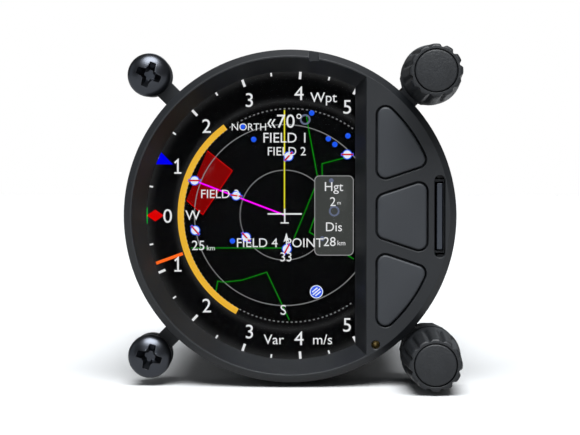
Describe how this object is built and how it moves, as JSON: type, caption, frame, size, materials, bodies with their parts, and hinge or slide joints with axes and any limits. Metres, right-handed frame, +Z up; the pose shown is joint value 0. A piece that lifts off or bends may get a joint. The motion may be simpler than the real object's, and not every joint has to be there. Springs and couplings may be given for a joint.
{
  "type": "panel-mounted flight instrument",
  "caption": "Round panel-mounted flight instrument with a sunk map display, push-and-turn knobs, push buttons, a memory card slot and a tubular housing.",
  "frame": {"origin": "on the instrument's axis, in the plane where its four ears bear on the back of the panel", "axes": "+Y runs back along the instrument's axis, so the face looks along -Y; +X is to the right of the face as a pilot sees it; +Z is up"},
  "size_m": [0.0565, 0.1143, 0.0572],
  "materials": {
    "bezel_black": "fine even grain, satin",
    "button_black": "fine even grain, a shade lighter than the bezel",
    "knob_black": "fine even grain",
    "screw_black": "blackened steel, semi-gloss",
    "window_glass": "clear cover window",
    "display_black": "dark display glass",
    "gasket_foam": "thin black foam",
    "backlight_white": "white light guide",
    "board_green": "circuit board with green mask",
    "housing_black": "black anodised tube and cover",
    "steel_bright": "plain bright steel",
    "brass": "plain machined brass",
    "zinc": "zinc-plated or die-cast grey",
    "moulded_black": "plain moulded body",
    "sensor_amber": "clear amber lens",
    "flex_amber": "flat amber lead",
    "card_black": "plain black card"
  },
  "bodies": {
    "instrument": {"card_socket": "steel_bright", "display_backlight": "backlight_white", "display_board": "board_green", "display_panel": "display_black", "display_window": "window_glass", "energy_port": "brass", "energy_sensor": "moulded_black", "front_frame": "bezel_black", "housing_tube": "housing_black", "light_sensor": "sensor_amber", "lower_encoder_body": "zinc", "lower_encoder_bushing": "brass", "lower_encoder_flex": "flex_amber", "lower_mounting_screw": "screw_black", "lower_panel_nut": "zinc", "lower_switch": "moulded_black", "main_board": "board_green", "middle_switch": "moulded_black", "network_jack": "steel_bright", "pitot_port": "brass", "pitot_sensor": "moulded_black", "power_connector": "steel_bright", "processor_shield": "zinc", "rear_cover": "housing_black", "retaining_ring": "steel_bright", "static_port": "brass", "static_sensor": "moulded_black", "tube_screw_front_1": "screw_black", "tube_screw_front_2": "screw_black", "tube_screw_front_3": "screw_black", "tube_screw_rear_1": "screw_black", "tube_screw_rear_2": "screw_black", "tube_screw_rear_3": "screw_black", "upper_encoder_body": "zinc", "upper_encoder_bushing": "brass", "upper_encoder_flex": "flex_amber", "upper_mounting_screw": "screw_black", "upper_panel_nut": "zinc", "upper_switch": "moulded_black", "window_gasket": "gasket_foam"},
    "upper_push": {"upper_encoder_plunger": "moulded_black"},
    "upper_knob": {"upper_encoder_shaft": "steel_bright", "upper_knob_grip": "knob_black", "upper_knob_collet": "brass", "upper_knob_nut": "brass", "upper_knob_cap": "knob_black"},
    "lower_push": {"lower_encoder_plunger": "moulded_black"},
    "lower_knob": {"lower_encoder_shaft": "steel_bright", "lower_knob_grip": "knob_black", "lower_knob_collet": "brass", "lower_knob_nut": "brass", "lower_knob_cap": "knob_black"},
    "upper_key": {"upper_button": "button_black", "upper_switch_plunger": "zinc"},
    "middle_key": {"middle_button": "button_black", "middle_switch_plunger": "zinc"},
    "lower_key": {"lower_button": "button_black", "lower_switch_plunger": "zinc"},
    "card": {"memory_card": "card_black"}
  },
  "joints": [
    {"name": "upper_knob_push", "type": "slide", "parent": "instrument", "child": "upper_push", "axis": [0, 1, 0], "range_m": [0, 0.0005], "stiffness_N_per_m": 3000, "springref_m": -0.0002},
    {"name": "upper_knob_turn", "type": "hinge", "parent": "upper_push", "child": "upper_knob", "pos_m": [0.02357, 0, 0.02357], "axis": [0, -1, 0], "continuous": true},
    {"name": "lower_knob_push", "type": "slide", "parent": "instrument", "child": "lower_push", "axis": [0, 1, 0], "range_m": [0, 0.0005], "stiffness_N_per_m": 3000, "springref_m": -0.0002},
    {"name": "lower_knob_turn", "type": "hinge", "parent": "lower_push", "child": "lower_knob", "pos_m": [0.02357, 0, -0.02357], "axis": [0, -1, 0], "continuous": true},
    {"name": "upper_button_press", "type": "slide", "parent": "instrument", "child": "upper_key", "axis": [0, 1, 0], "range_m": [0, 0.0005], "stiffness_N_per_m": 2000, "springref_m": -0.0002},
    {"name": "middle_button_press", "type": "slide", "parent": "instrument", "child": "middle_key", "axis": [0, 1, 0], "range_m": [0, 0.0005], "stiffness_N_per_m": 2000, "springref_m": -0.0002},
    {"name": "lower_button_press", "type": "slide", "parent": "instrument", "child": "lower_key", "axis": [0, 1, 0], "range_m": [0, 0.0005], "stiffness_N_per_m": 2000, "springref_m": -0.0002},
    {"name": "card_slide", "type": "slide", "parent": "instrument", "child": "card", "axis": [0, -1, 0], "range_m": [-0.0008, 0.015]}
  ]
}
